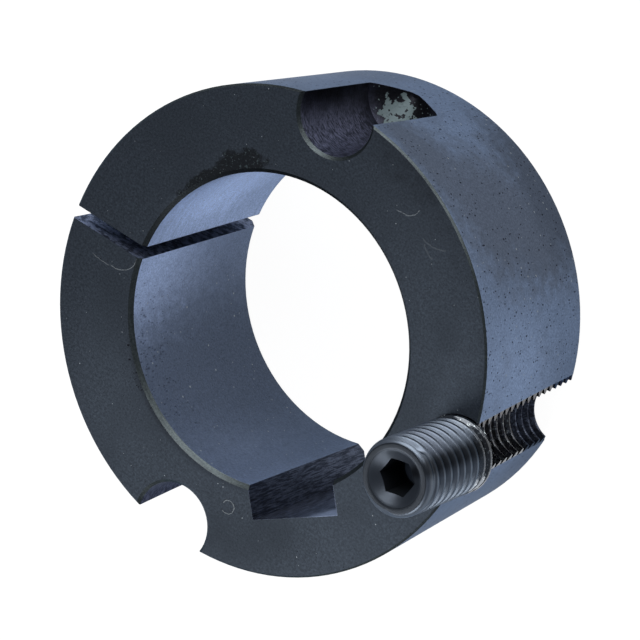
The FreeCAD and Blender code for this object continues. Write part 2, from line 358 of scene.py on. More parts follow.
@dataclass
class OpenThread:
    """The bushing's half of the thread, lying in the open half-hole."""

    thread: Thread
    centre_x: float
    length: float
    large_radius: float
    taper: float = math.radians(4)
    rim_bevel: float = 0.3
    foot_bevel: float = 0.65
    clearance: float = 0.025
    root_in_wall: float = 0.15
    skin_depth: float = 0.004
    columns: int = 70
    rows_per_pitch: int = 28
    tries: int = 6

    def outside(self, height: Array) -> Array:
        """Work out the bushing's outer radius, the least of the taper's and the two bevels'.

        Args:
            height: Height of each row.

        Returns:
            The radius, less the skin's depth.
        """
        cone = self.large_radius - (self.length - height) * math.tan(self.taper)
        rim = self.large_radius - self.rim_bevel + (self.length - height)
        small = self.large_radius - self.length * math.tan(self.taper)
        foot = small - self.foot_bevel + height
        return np.minimum(cone, np.minimum(rim, foot)) - self.skin_depth

    def ridge(self, height: Array, angle: Array) -> Array:
        """Return the thread's radius, opened out by a bevel at the small end."""
        bevelled = self.thread.top + self.clearance - height
        return np.maximum(self.thread.radius(height, angle, self.clearance), bevelled)

    def limit(self, height: Array, side: int, radius: Array) -> Array:
        """Work out the angle at which a radius about the hole meets the outside.

        It follows from the triangle between the two axes and the point:
        cos(angle) = (outside^2 - centre^2 - radius^2) / (2 centre radius).

        Args:
            height: Height of each row.
            side: 1 for the side towards +Y, -1 for the other.
            radius: Radius about the hole's axis.

        Returns:
            The angle of each row, within half a turn of the middle of the wall.
        """
        outer = self.outside(height)
        cosine = (outer ** 2 - self.centre_x ** 2 - radius ** 2) / (2 * self.centre_x * radius)
        return math.pi - side * (math.pi - np.arccos(np.clip(cosine, -1, 1)))

    def meeting(self, height: Array, side: int) -> Array:
        """Work out where the thread itself meets the outside, in repeated tries.

        Args:
            height: Height of each row.
            side: 1 for the side towards +Y, -1 for the other.

        Returns:
            The angle of each row.
        """
        angle = np.full_like(height, math.pi - side * math.pi / 2)
        for _ in range(self.tries):
            angle = self.limit(height, side, self.ridge(height, angle))
        return angle

    def build(self) -> bpy.types.Object:
        """Make the thread as a closed shell between ridge and wall.

        Returns:
            The piece, riding with the bushing.
        """
        count = int(self.length / self.thread.pitch * self.rows_per_pitch)
        height = np.linspace(self.skin_depth, self.length - self.skin_depth, count)
        share = np.linspace(0, 1, self.columns)[None]
        first, last = self.meeting(height, 1)[:, None], self.meeting(height, -1)[:, None]
        angle = first + share * (last - first)
        rows = height[:, None] + 0 * angle
        wall = self.thread.top + self.root_in_wall
        start, end = self.limit(rows[:, :1], 1, wall), self.limit(rows[:, :1], -1, wall)
        skin = Skin()
        near = skin.add_points(about_axis(self.centre_x, self.ridge(rows, angle), rows, angle))
        far = skin.add_points(about_axis(self.centre_x, wall, rows, start + share * (end - start)))
        edges = [(near[:, 0], far[:, 0], 1), (far[:, -1], near[:, -1], 1), (near[0], far[0], 0),
                 (far[-1], near[-1], 0)]
        for sheet in [near[::-1], far] + [np.stack([one, other], axis) for one, other, axis in edges]:
            skin.add_sheet(sheet)
        piece = skin.make("half_hole_thread")
        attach(piece, Body.BUSH.value)
        return piece


# Shader writing


class Graph:
    """Writes shader nodes as short expressions that return sockets."""

    def __init__(self, tree: Tree) -> None:
        """Keep the node tree that is written to."""
        self.tree = tree

    def node(self, kind: str, inputs: dict[Any, Input], **settings: Any) -> bpy.types.Node:
        """Add a node, set its options and fill its inputs.

        Args:
            kind: The node's type name.
            inputs: Values or sockets, by input name or number.
            **settings: The node's own properties.

        Returns:
            The new node.
        """
        made = self.tree.nodes.new(kind)
        for key, value in settings.items():
            setattr(made, key, value)
        for key, value in inputs.items():
            self.fill(made.inputs[key], value)
        return made

    def fill(self, socket: Socket, value: Input) -> None:
        """Fill an input.

        Args:
            socket: The input.
            value: A socket to link to it, or its plain value.
        """
        if isinstance(value, bpy.types.NodeSocket):
            self.tree.links.new(value, socket)
        else:
            socket.default_value = value

    def use(self, group: Tree, inputs: dict[str, Input]) -> Any:
        """Place a node group and return its outputs."""
        return self.node("ShaderNodeGroup", inputs, node_tree=group).outputs

    def math(self, operation: str, *values: Input, clamp: bool = False) -> Socket:
        """Return the result of a scalar sum on up to three values."""
        inputs = dict(enumerate(values))
        return self.node("ShaderNodeMath", inputs, operation=operation, use_clamp=clamp).outputs[0]

    def vector(self, operation: str, *values: Input, output: str = "Vector") -> Socket:
        """Return the result of a sum on vectors."""
        inputs = dict(enumerate(values))
        return self.node("ShaderNodeVectorMath", inputs, operation=operation).outputs[output]

    def step(self, value: Input, start: float, end: float) -> Socket:
        """Write a smooth rise from 0 at start to 1 at end, or a fall if end is the lower.

        Args:
            value: What rises or falls.
            start: Where the result is 0.
            end: Where it is 1.

        Returns:
            The result, between 0 and 1.
        """
        inputs = {"Value": value, "From Min": min(start, end), "From Max": max(start, end),
                  "To Min": float(start > end), "To Max": float(start < end)}
        return self.node("ShaderNodeMapRange", inputs, interpolation_type="SMOOTHSTEP").outputs["Result"]

    def mix(self, share: Input, first: Input, second: Input) -> Socket:
        """Return a colour between two others."""
        return self.node("ShaderNodeMix", {0: share, 6: first, 7: second}, data_type="RGBA").outputs[2]

    def blend(self, share: Input, first: Input, second: Input) -> Socket:
        """Return a number between two others."""
        return self.node("ShaderNodeMix", {0: share, 2: first, 3: second}, data_type="FLOAT").outputs[0]

    def between(self, share: Input, first: Input, second: Input) -> Socket:
        """Return a vector between two others."""
        return self.node("ShaderNodeMix", {0: share, 4: first, 5: second}, data_type="VECTOR").outputs[1]

    def product(self, *values: Input) -> Socket:
        """Return several values multiplied together."""
        return reduce(lambda made, value: self.math("MULTIPLY", made, value), values)

    def greatest(self, *values: Input) -> Socket:
        """Return the greatest of several values."""
        return reduce(lambda most, value: self.math("MAXIMUM", most, value), values)

    def weighted(self, *terms: tuple[Input, float]) -> Socket:
        """Return the sum of several values, each times its weight."""
        return reduce(lambda total, term: self.math("MULTIPLY_ADD", *term, total), terms, 0.0)

    def clear_of(self, mask: Input) -> Socket:
        """Return the mask of what another mask leaves clear."""
        return self.math("SUBTRACT", 1.0, mask)

    def apart(self, vector: Input) -> tuple[Any, Any, Any]:
        """Return a vector's three parts."""
        return tuple(self.node("ShaderNodeSeparateXYZ", {0: vector}).outputs)

    def distance(self, x: Input, y: Input) -> Socket:
        """Return how far a place in the plane lies from the origin."""
        return self.math("SQRT", self.math("MULTIPLY_ADD", x, x, self.product(y, y)))

    def noise(self, point: Input, scale: float, detail: float = 3.0, rough: float = 0.55) -> Socket:
        """Return fractal noise, with scale in patterns per unit."""
        inputs = {"Vector": point, "Scale": scale, "Detail": detail, "Roughness": rough}
        return self.node("ShaderNodeTexNoise", inputs).outputs["Fac"]

    def spots(self, point: Input, scale: float, radius: Input) -> Socket:
        """Scatter round spots of mixed size, one to a cell, as low domes.

        Most are small, because each has the cube of a chance as its size.

        Args:
            point: Where a spot is looked for.
            scale: Cells per unit.
            radius: Radius of the largest spots.

        Returns:
            Each spot's height, 1 in its middle and 0 from its edge outwards.
        """
        cells = self.node("ShaderNodeTexVoronoi", {"Vector": point, "Scale": scale})
        chance = self.node("ShaderNodeSeparateColor", {"Color": cells.outputs["Color"]}).outputs[0]
        size = self.product(self.math("POWER", chance, 3.0), radius, scale)
        share = self.math("DIVIDE", cells.outputs["Distance"], self.math("ADD", size, 1e-4))
        return self.math("SUBTRACT", 1.0, self.product(share, share), clamp=True)

    def millimetres(self) -> Socket:
        """Return the place on the object in millimetres."""
        place = self.node("ShaderNodeTexCoord", {}).outputs["Object"]
        return self.vector("MULTIPLY", place, (1 / MM, 1 / MM, 1 / MM))

    def unrolled(self, point: Input) -> Socket:
        """Unroll a point about the upright axis, cut open at -X.

        Args:
            point: The point.

        Returns:
            Way round the axis, distance from it and height.
        """
        x, y, z = self.apart(point)
        way = self.product(self.math("ARCTAN2", y, x), UNROLLING_RADIUS)
        return self.node("ShaderNodeCombineXYZ", {0: way, 1: self.distance(x, y), 2: z}).outputs[0]

    def upward(self) -> Socket:
        """Return the z part of the face's own normal."""
        return self.apart(self.node("ShaderNodeNewGeometry", {}).outputs["True Normal"])[2]


def start_group(name: str, vectors: tuple[str, ...], numbers: tuple[str, ...],
                outputs: tuple[str, ...]) -> tuple[Tree, Graph, Any, Any]:
    """Start a node group with named sockets.

    Args:
        name: The group's name.
        vectors: Names of the inputs that are vectors.
        numbers: Names of the inputs that are plain numbers.
        outputs: Names of the outputs, all plain numbers.

    Returns:
        The group, a writer for it, its inner inputs and its inner outputs.
    """
    tree = bpy.data.node_groups.new(name, "ShaderNodeTree")
    for labels, side, kind in ((vectors, "INPUT", "Vector"), (numbers, "INPUT", "Float"),
                               (outputs, "OUTPUT", "Float")):
        for label in labels:
            tree.interface.new_socket(name=label, in_out=side, socket_type="NodeSocket" + kind)
    graph = Graph(tree)
    start = graph.node("NodeGroupInput", {})
    return tree, graph, start.outputs, graph.node("NodeGroupOutput", {}).inputs


def start_metal(name: str, edge_tint: Colour, gloss: float) -> tuple[bpy.types.Material, Graph, Any]:
    """Start a metal's material.

    Args:
        name: The material's name.
        edge_tint: Tint of what it reflects at a flat angle.
        gloss: Roughness of the oil on it.

    Returns:
        The material, a writer for it and its shader's inputs.
    """
    made = bpy.data.materials.new(name)
    made.use_nodes = True
    shader = made.node_tree.nodes["Principled BSDF"].inputs
    shader["Specular Tint"].default_value = edge_tint
    shader["Coat Roughness"].default_value = gloss
    return made, Graph(made.node_tree), shader


def raise_relief(graph: Graph, shader: Any, height: Input, strength: float, depth: float) -> None:
    """Give a shader its fine relief, so many millimetres deep."""
    bump = graph.node("ShaderNodeBump", {"Height": height, "Strength": strength, "Distance": depth * MM})
    graph.fill(shader["Normal"], bump.outputs["Normal"])


class Effects:
    """The node groups that the finishes share, each written once."""

    def __init__(self) -> None:
        """Write all the groups."""
        self.patch = self.write_patch()
        self.scratch = self.write_scratch()
        self.wear = self.write_wear()
        self.oil = self.write_oil()

    def write_patch(self) -> Tree:
        """Write a soft patch: 1 within 0.3 of its reach, 0 past 1.1 of it, with a ragged edge.

        Returns:
            The group.
        """
        vectors = ("Point", "Centre", "Reach")
        tree, graph, start, end = start_group("ragged patch", vectors, ("Noise",), ("Mask",))
        offset = graph.vector("SUBTRACT", start["Point"], start["Centre"])
        share = graph.vector("DIVIDE", offset, start["Reach"])
        away = graph.math("ADD", graph.vector("LENGTH", share, output="Value"), start["Noise"])
        graph.fill(end["Mask"], graph.step(away, 1.1, 0.3))
        return tree

    def write_scratch(self) -> Tree:
        """Write a fine mark that follows part of a circle on a level face.

        Returns:
            The group.
        """
        numbers = ("Radius", "Middle", "Half Sweep", "Width", "Wander")
        tree, graph, start, end = start_group("curved scratch", ("Point", "Centre"), numbers, ("Mask",))
        x, y, _ = graph.apart(graph.vector("SUBTRACT", start["Point"], start["Centre"]))
        away = graph.math("SUBTRACT", graph.distance(x, y), start["Radius"])
        away = graph.math("ADD", start["Wander"], away)
        share = graph.math("DIVIDE", graph.math("ABSOLUTE", away), start["Width"])
        turned = graph.math("SUBTRACT", graph.math("ARCTAN2", y, x), start["Middle"])
        turned = graph.math("ABSOLUTE", graph.math("WRAP", turned, math.pi, -math.pi))
        within = graph.step(graph.math("SUBTRACT", start["Half Sweep"], turned), -0.02, 0.08)
        graph.fill(end["Mask"], graph.product(graph.step(share, 1.0, 0.3), within))
        return tree

    def write_wear(self) -> Tree:
        """Write tool marks along a lay, fine grain, stained clouds, dark pits and pale specks.

        Returns:
            The group.
        """
        tree, graph, start, end = start_group("machined wear", ("Point", "Lay", "Pit Place"),
                                              ("Pit Size", "Speck Size"),
                                              ("Marks", "Grain", "Clouds", "Pits", "Specks"))
        point = start["Point"]
        clouds = graph.noise(point, scale=0.085, detail=3.0, rough=0.6)
        graph.fill(end["Marks"], graph.noise(start["Lay"], scale=1.0, detail=4.0, rough=0.62))
        graph.fill(end["Grain"], graph.noise(point, scale=3.4, detail=3.0, rough=0.65))
        graph.fill(end["Clouds"], graph.step(clouds, 0.38, 0.66))
        graph.fill(end["Pits"], graph.spots(start["Pit Place"], 1.9, start["Pit Size"]))
        graph.fill(end["Specks"], graph.spots(point, 1.1, start["Speck Size"]))
        return tree

    def write_oil(self) -> Tree:
        """Write an oil film that fills a cover, with drops and painted glints in it and round its edge.

        Returns:
            The group.
        """
        tree, graph, start, end = start_group("oil film", ("Point",), ("Cover", "Drop Size"),
                                              ("Film", "Drops", "Glints"))
        point, cover = start["Point"], start["Cover"]
        ragged = graph.weighted((cover, 1.6), (graph.noise(point, scale=0.9, detail=5.0, rough=0.65), 1.3))
        drops = graph.spots(point, 1.9, start["Drop Size"])
        glints = graph.step(graph.noise(point, scale=2.3, detail=3.0, rough=0.7), 0.58, 0.64)
        graph.fill(end["Film"], graph.step(ragged, 0.9, 1.8))
        graph.fill(end["Drops"], graph.product(drops, graph.step(cover, 0.1, 0.5)))
        graph.fill(end["Glints"], graph.product(glints, graph.step(cover, 0.3, 0.7)))
        return tree


# Finishes


@dataclass(frozen=True)
class Surfaces:
    """Where the bushing's surfaces lie, in millimetres and degrees.

    The masks have soft edges a few hundredths of a millimetre wide, so
    that they end on the bushing's own edges.
    """

    length: float = 31.75
    large_radius: float = 34.925
    taper: float = 4.0
    bore_radius: float = 22.5
    split_half_width: float = 1.0
    key_bearing: float = -56.0
    key_half_width: float = 7.0
    key_floor: float = 26.3
    hole_centre: float = 33.3375
    pocket_bearing: float = 94.7
    pocket_radius: float = 5.8
    pocket_low: float = 9.4

    def group(self) -> Tree:
        """Write the group that tells the bushing's surfaces apart.

        Returns:
            The node group, with one mask for each kind of surface.
        """
        labels = ("Face", "Bore", "Keyway", "Split", "Pocket", "Pocket End", "Bevel")
        tree, graph, start, end = start_group("bushing surfaces", ("Point",), (), labels)
        x, y, z = graph.apart(start["Point"])
        radius = graph.distance(x, y)
        level = graph.math("ABSOLUTE", graph.upward())
        wall = graph.step(level, 0.4, 0.3)
        pocket = self.pocket(graph, x, y, z, radius)
        ends = graph.greatest(graph.step(z, self.length - 0.1, self.length - 0.02), graph.step(z, 0.1, 0.02))
        near_ends = graph.greatest(graph.step(z, self.length - 1.3, self.length - 1.2),
                                   graph.step(z, 1.5, 1.3))
        beside_split = graph.step(graph.math("ABSOLUTE", y), self.split_half_width + 0.05,
                                  self.split_half_width + 0.01)
        parts = {
            "Face": (graph.step(level, *LEVEL), ends),
            "Bore": (graph.step(radius, self.bore_radius + 0.06, self.bore_radius + 0.01), wall),
            "Keyway": (self.keyway(graph, x, y, radius),),
            "Split": (beside_split, graph.step(x, 0.0, -1.0), wall),
            "Pocket": (pocket,),
            "Pocket End": (pocket, graph.step(level, 0.5, 0.6)),
            "Bevel": (graph.step(level, 0.3, 0.4), graph.step(level, 0.95, 0.9), near_ends),
        }
        for label in labels:
            graph.fill(end[label], graph.product(*parts[label]))
        return tree

    def keyway(self, graph: Graph, x: Input, y: Input, radius: Input) -> Socket:
        """Write the mask of the keyway: beyond the bore, within its width and above its floor.

        Args:
            graph: The group's writer.
            x: The point's x.
            y: The point's y.
            radius: The point's distance from the bore's axis.

        Returns:
            The mask.
        """
        bearing = math.radians(self.key_bearing)
        out = graph.weighted((x, math.cos(bearing)), (y, math.sin(bearing)))
        side = graph.math("ABSOLUTE", graph.weighted((y, math.cos(bearing)), (x, -math.sin(bearing))))
        return graph.product(graph.step(side, self.key_half_width + 0.05, self.key_half_width + 0.01),
                             graph.step(out, self.key_floor + 0.05, self.key_floor + 0.01),
                             graph.step(out, 15.0, 18.0),
                             graph.step(radius, self.bore_radius + 0.02, self.bore_radius + 0.05))

    def pocket(self, graph: Graph, x: Input, y: Input, z: Input, radius: Input) -> Socket:
        """Write the mask of the two blind half-holes, up to where they break the taper.

        Args:
            graph: The group's writer.
            x: The point's x.
            y: The point's y.
            z: The point's height.
            radius: The point's distance from the bore's axis.

        Returns:
            The mask.
        """
        angle = math.radians(self.pocket_bearing)
        along = graph.math("SUBTRACT", x, self.hole_centre * math.cos(angle))
        over = graph.math("SUBTRACT", graph.math("ABSOLUTE", y), self.hole_centre * math.sin(angle))
        slope = math.tan(math.radians(self.taper))
        outside = graph.math("MULTIPLY_ADD", z, slope, self.large_radius - self.length * slope)
        return graph.product(graph.step(graph.distance(along, over), self.pocket_radius + 0.03,
                                        self.pocket_radius + 0.01),
                             graph.step(z, self.length - 0.02, self.length - 0.08),
                             graph.step(z, self.pocket_low - 0.1, self.pocket_low),
                             graph.step(graph.math("SUBTRACT", outside, radius), 0.02, 0.05))


@dataclass(frozen=True)
class Finish:
    """Look of one worked surface.

    The colours are those of the clean metal and of its stains, and on the
    bushing the second is also that of its painted shade. Marks says how
    deep the tool marks show, and lay how many of them come to a millimetre
    in each direction: x, y and z, or round, out and up where the finish is
    unrolled.
    """

    colour: Colour
    stain: Colour
    roughness: float
    marks: float
    lay: Triple
    unrolled: bool = False


@dataclass(frozen=True)
class Ground:
    """What a finish is written on: the material's graph, the shared effects and the point.

    Around is the point unrolled, and noise a coarse noise about nought
    that all edges share.
    """

    graph: Graph
    effects: Effects
    point: Socket
    around: Socket
    noise: Socket


@dataclass(frozen=True)
class Patch:
    """A soft region: round, out and up in millimetres where it is unrolled."""

    centre: Triple
    reach: Triple
    ragged: float = 0.3
    unrolled: bool = True
    strength: float = 1.0

    def mask(self, ground: Ground) -> Socket:
        """Place the patch.

        Args:
            ground: What it is written on.

        Returns:
            The patch's mask, up to its strength.
        """
        graph = ground.graph
        inputs = {"Point": ground.around if self.unrolled else ground.point, "Centre": self.centre,
                  "Reach": self.reach, "Noise": graph.product(ground.noise, self.ragged)}
        return graph.product(graph.use(ground.effects.patch, inputs)["Mask"], self.strength)


def covered(ground: Ground, patches: tuple[Patch, ...]) -> Socket:
    """Return the mask of several patches, each laid over what the others leave clear."""
    graph = ground.graph
    return graph.clear_of(graph.product(*[graph.clear_of(patch.mask(ground)) for patch in patches]))


def way_round(degrees: float) -> float:
    """Return a bearing as way round the axis in an unrolled point."""
    return math.radians(degrees) * UNROLLING_RADIUS


@dataclass(frozen=True)
class Scratch:
    """A fine mark on the large face, along part of a circle, in millimetres and degrees."""

    centre: tuple[float, float]
    radius: float
    middle: float
    half_sweep: float
    strength: float = 0.5
    width: float = 0.09
    wander: float = 0.2

    def mask(self, ground: Ground, height: float) -> Socket:
        """Place the mark.

        Args:
            ground: What it is written on.
            height: The large face's height.

        Returns:
            The mark's mask, up to its strength.
        """
        graph = ground.graph
        inputs = {"Point": ground.point, "Centre": (*self.centre, height), "Radius": self.radius,
                  "Middle": math.radians(self.middle), "Half Sweep": math.radians(self.half_sweep),
                  "Width": self.width, "Wander": graph.product(ground.noise, self.wander)}
        return graph.product(graph.use(ground.effects.scratch, inputs)["Mask"], self.strength)


@dataclass
class BushFinish:
    """The bushing's blackened, lightly oiled iron.

    The taper's finish lies under all, and the other worked surfaces are
    blended over it by their masks. Clouds bring out stains, and on the
    taper and in the bore they also paint shade. Painted shades darken a
    pocket and an arc of the bevel, painted light patches make places
    lighter or darker, and a painted sheen lies on the keyway's floor.
    Pits, oil with painted glints, specks and fine marks lie on top, with a
    painted highlight at the drill point shaped as a greasy smear, and the
    sizes of pits, specks and drops are the largest ones' radii.
    """

    surfaces: Surfaces
    effects: Effects
    metallic: float = 0.85
    # Metallic of the painted highlight at the drill point.
    painted_glint_metallic: float = 0.1
    edge_tint: Colour = (0.32, 0.37, 0.45, 1)
    gloss: float = 0.08
    film_roughness: float = 0.24
    relief_strength: float = 0.7
    relief_depth: float = 0.03
    taper: Finish = Finish((0.142, 0.186, 0.275, 1), (0.084, 0.098, 0.128, 1), 0.42, 0.12,
                           (0.35, 1.0, 2.6), unrolled=True)
    worked: dict[str, Finish] = field(default_factory=lambda: {
        "Face": Finish((0.037, 0.0455, 0.0575, 1), (0.017, 0.020, 0.025, 1), 0.46, 0.40, (2.2, 2.2, 2.2)),
        # The bore's clean colour is partly painted light, far lighter than the taper's, and its dark second
        # colour takes the bore's painted shade.
        "Bore": Finish((0.350, 0.440, 0.650, 1), (0.030, 0.037, 0.049, 1), 0.36, 0.20, (0.18, 1.0, 4.5),
                       unrolled=True),
        "Keyway": Finish((0.100, 0.116, 0.160, 1), (0.007, 0.007, 0.010, 1), 0.40, 0.75, (4.4, 4.4, 0.45)),
        "Split": Finish((0.230, 0.270, 0.390, 1), (0.012, 0.012, 0.016, 1), 0.36, 0.85, (1.2, 1.5, 1.5)),
        "Pocket": Finish((0.092, 0.098, 0.148, 1), (0.009, 0.009, 0.011, 1), 0.40, 0.85, (1.2, 1.2, 4.0)),
        "Bevel": Finish((0.046, 0.055, 0.057, 1), (0.018, 0.021, 0.023, 1), 0.28, 0.35, (0.3, 4.0, 4.0),
                        unrolled=True),
    })
    # Clouds: on the taper, stains that also paint its darker middle as shade; the last three lie in the bore
    # as painted shade that darkens one side of it.
    clouds: tuple[Patch, ...] = (
        Patch((way_round(74), 34.0, 26.5), (11.0, 9.0, 8.0), 0.2),
        Patch((way_round(56), 33.5, 19.0), (12.0, 9.0, 17.0), 0.2),
        Patch((way_round(48), 33.2, 10.0), (8.0, 9.0, 10.0), 0.2),
        Patch((way_round(58), 32.8, 1.0), (15.0, 9.0, 12.0), 0.2),
        Patch((way_round(-106), 22.5, 12.0), (33.0, 2.0, 60.0), 0.04, strength=0.84),
        Patch((way_round(-160), 22.5, -4.0), (50.0, 2.0, 32.0), 0.05, strength=0.7),
        Patch((way_round(-127), 22.5, 12.0), (16.0, 2.0, 45.0), 0.12, strength=0.8),
    )
    oil_places: tuple[Patch, ...] = (
        Patch((way_round(123), 23.8, 31.75), (6.0, 2.8, 1.0), 0.3),
        Patch((way_round(137), 23.2, 31.75), (8.0, 1.3, 1.0), 0.3),
    )
    # Painted shade: darkens the upper wall and the drill point of the pocket on the +Y side, and an arc of
    # the bore's bevel round bearing 142 degrees.
    shades: tuple[Patch, ...] = (
        Patch((-9.5, 35.5, 22.0), (7.6, 9.4, 20.0), 0.12, False),
        Patch((-2.7, 32.0, 11.5), (10.0, 10.0, 6.0), 0.12, False),
        Patch((way_round(142), 23.2, 31.3), (34.0, 2.5, 2.5), 0.1),
    )
    scratches: tuple[Scratch, ...] = (
        Scratch((-27.78, 5.70), 10.02, -93, 10),
        Scratch((-26.08, -1.15), 3.15, -50, 51),
        Scratch((4.6, -26.2), 1.0, 20, 150),
        Scratch((12.42, 21.21), 5.02, 100, 6),
        Scratch((12.40, 28.14), 1.95, -54, 46),
        Scratch((18.06, 28.64), 4.45, -87, 27, 0.16, 0.14),
        Scratch((18.80, 24.68), 1.99, -125, 38, 0.16, 0.14),
    )
    # Painted light and shade: these lighten the taper's front and the bore's upper side, darken the taper's
    # rear edge, and lighten or darken parts of the large face; a strength below nought darkens.
    painted_light_patches: tuple[Patch, ...] = (
        Patch((way_round(8), 34.0, 24.0), (13.0, 8.0, 20.0), 0.15, strength=0.95),
        Patch((way_round(60), 32.8, 2.0), (14.0, 8.0, 9.0), 0.15, strength=-0.5),
        Patch((way_round(153), 22.5, 20.0), (10.0, 2.0, 18.0), 0.12),
        Patch((way_round(38), 28.5, 31.75), (22.0, 8.0, 1.5), 0.1, strength=0.5),
        Patch((way_round(-72), 30.0, 31.75), (12.0, 8.0, 1.5), 0.1, strength=-0.4),
        Patch((way_round(-135), 29.0, 31.75), (13.0, 8.0, 1.5), 0.1, strength=0.45),
    )
    painted_light_share: float = 0.5
    haze: float = 0.4
    bore_haze: float = 0.1
    stain_share: float = 0.88
    # A painted sheen: a lighter, bluer corner of the keyway's floor.
    sheen: Patch = Patch((19.2, -18.8, 31.5), (4.4, 4.4, 7.0), 0.12, False, 0.75)
    sheen_colour: Colour = (0.30, 0.36, 0.50, 1)
    pitted: Patch = Patch((way_round(-140), 22.5, 29.5), (17.0, 2.0, 9.0), 0.4)
    pit_sizes: dict[str, float] = field(default_factory=lambda: {
        "Taper": 0.22, "Face": 0.09, "Bore": 0.15, "Pitted": 0.34})
    pit_stretch: Triple = (1.7, 1.0, 0.8)
    pit_share: float = 0.85
    bore_pit_share: float = 0.45
    pit_colour: Colour = (0.006, 0.006, 0.008, 1)
    speck_size: float = 0.19
    face_speck_size: float = 0.11
    speck_share: float = 0.7
    speck_colour: Colour = (0.30, 0.33, 0.35, 1)
    scratch_colour: Colour = (0.20, 0.22, 0.23, 1)
    drop_size: float = 0.34
    film_share: float = 0.7
    oil_colour: Colour = (0.008, 0.008, 0.007, 1)
    # A painted highlight at the drill point, shaped as a greasy smear; its colour also paints the glints in
    # the oil on the large face.
    painted_glint: Patch = Patch((-3.5, 30.1, 11.2), (3.6, 2.9, 2.9), 0.6, False)
    painted_glint_colour: Colour = (0.088, 0.115, 0.118, 1)

    def material(self) -> bpy.types.Material:
        """Write the finish over all the bushing's surfaces.

        Returns:
            The material.
        """
        made, graph, shader = start_metal("blackened_iron_bushing", self.edge_tint, self.gloss)
        point = graph.millimetres()
        coarse = graph.noise(point, scale=0.55, detail=4.0, rough=0.62)
        coarse = graph.math("MULTIPLY_ADD", coarse, 4.0, -2.0)
        ground = Ground(graph, self.effects, point, graph.unrolled(point), coarse)
        masks = graph.use(self.surfaces.group(), {"Point": point})
        clean, stained_and_shaded, rough, depth, lay = self.blended(ground, masks)
        wear = self.worn(ground, masks, lay)
        coarsely_worked = [masks[label] for label in ("Keyway", "Split", "Pocket", "Bevel")]
        smooth = graph.clear_of(graph.greatest(*coarsely_worked))
        haze = graph.product(wear["Clouds"], graph.blend(masks["Bore"], self.haze, self.bore_haze))
        # stain holds the stains and, on the bore and the taper, painted shade.
        stain = graph.product(graph.greatest(haze, covered(ground, self.clouds)), smooth)
        marked = graph.product(graph.step(wear["Marks"], 0.62, 0.40), depth)
        # Painted shade in the pocket and on the bevel.
        shade = graph.product(graph.greatest(masks["Pocket"], masks["Bevel"]), covered(ground, self.shades))
        # Painted sheen on the keyway's floor.
        sheen = graph.product(masks["Keyway"], self.sheen.mask(ground))
        # dulled holds stains, tool marks and painted shade.
        dulled = graph.greatest(graph.product(stain, self.stain_share), marked, shade)
        colour = graph.mix(sheen, graph.mix(dulled, clean, stained_and_shaded), self.sheen_colour)
        colour = self.grained_with_painted_light(ground, colour, wear["Grain"])
        oiled = graph.product(masks["Face"], covered(ground, self.oil_places))
        oil = graph.use(self.effects.oil, {"Point": point, "Drop Size": self.drop_size,
                                           "Cover": graph.greatest(oiled, masks["Pocket End"])})
        film = graph.product(oil["Film"], masks["Face"])
        # Painted highlights: the oil's glints on the large face and the drill point's glint.
        glint = graph.product(oil["Glints"], masks["Face"])
        painted_glint = self.painted_drill_point_glint(ground, masks["Pocket End"], oil["Drops"])
        scratched = self.scratched(ground, masks["Face"])
        pits = graph.product(wear["Pits"], smooth)
        specks = graph.product(graph.step(wear["Specks"], 0.1, 0.5), smooth)
        pit_share = graph.blend(masks["Bore"], self.pit_share, self.bore_pit_share)
        for mask, paint in ((graph.product(graph.step(pits, 0.05, 0.5), pit_share), self.pit_colour),
                            (graph.product(film, self.film_share), self.oil_colour),
                            (graph.product(specks, self.speck_share), self.speck_colour),
                            (scratched, self.scratch_colour),
                            (graph.greatest(glint, painted_glint), self.painted_glint_colour)):
            colour = graph.mix(mask, colour, paint)
        rough = graph.weighted((rough, 1.0), (wear["Grain"], 0.12), (stain, 0.05))
        for label, value in (("Base Color", colour),
                             ("Metallic", graph.blend(painted_glint, self.metallic, self.painted_glint_metallic)),
                             ("Roughness", graph.blend(film, rough, self.film_roughness)),
                             ("Coat Weight", graph.product(film, 0.5))):
            graph.fill(shader[label], value)
        height = graph.weighted((graph.product(wear["Marks"], depth), 1.6), (wear["Grain"], 0.55),
                                (pits, -1.6), (oil["Drops"], 1.2), (scratched, 1.6))
        raise_relief(graph, shader, height, self.relief_strength, self.relief_depth)
        return made

    def blended(self, ground: Ground, masks: Any) -> tuple[Socket, Socket, Socket, Socket, Socket]:
        """Blend the worked surfaces' finishes over the taper's.

        Args:
            ground: What the finish is written on.
            masks: Each surface's mask.

        Returns:
            The clean colour, the colour of stains and painted shade, the roughness,
            the marks' depth and their lay.
        """
        graph = ground.graph
        clean, stained_and_shaded = self.taper.colour, self.taper.stain
        rough, depth = self.taper.roughness, self.taper.marks
        lay = graph.vector("MULTIPLY", ground.around, self.taper.lay)
        for label, finish in self.worked.items():
            mask = masks[label]
            clean = graph.mix(mask, clean, finish.colour)
            stained_and_shaded = graph.mix(mask, stained_and_shaded, finish.stain)
            rough = graph.blend(mask, rough, finish.roughness)
            depth = graph.blend(mask, depth, finish.marks)
            place = ground.around if finish.unrolled else ground.point
            lay = graph.between(mask, lay, graph.vector("MULTIPLY", place, finish.lay))
        return clean, stained_and_shaded, rough, depth, lay

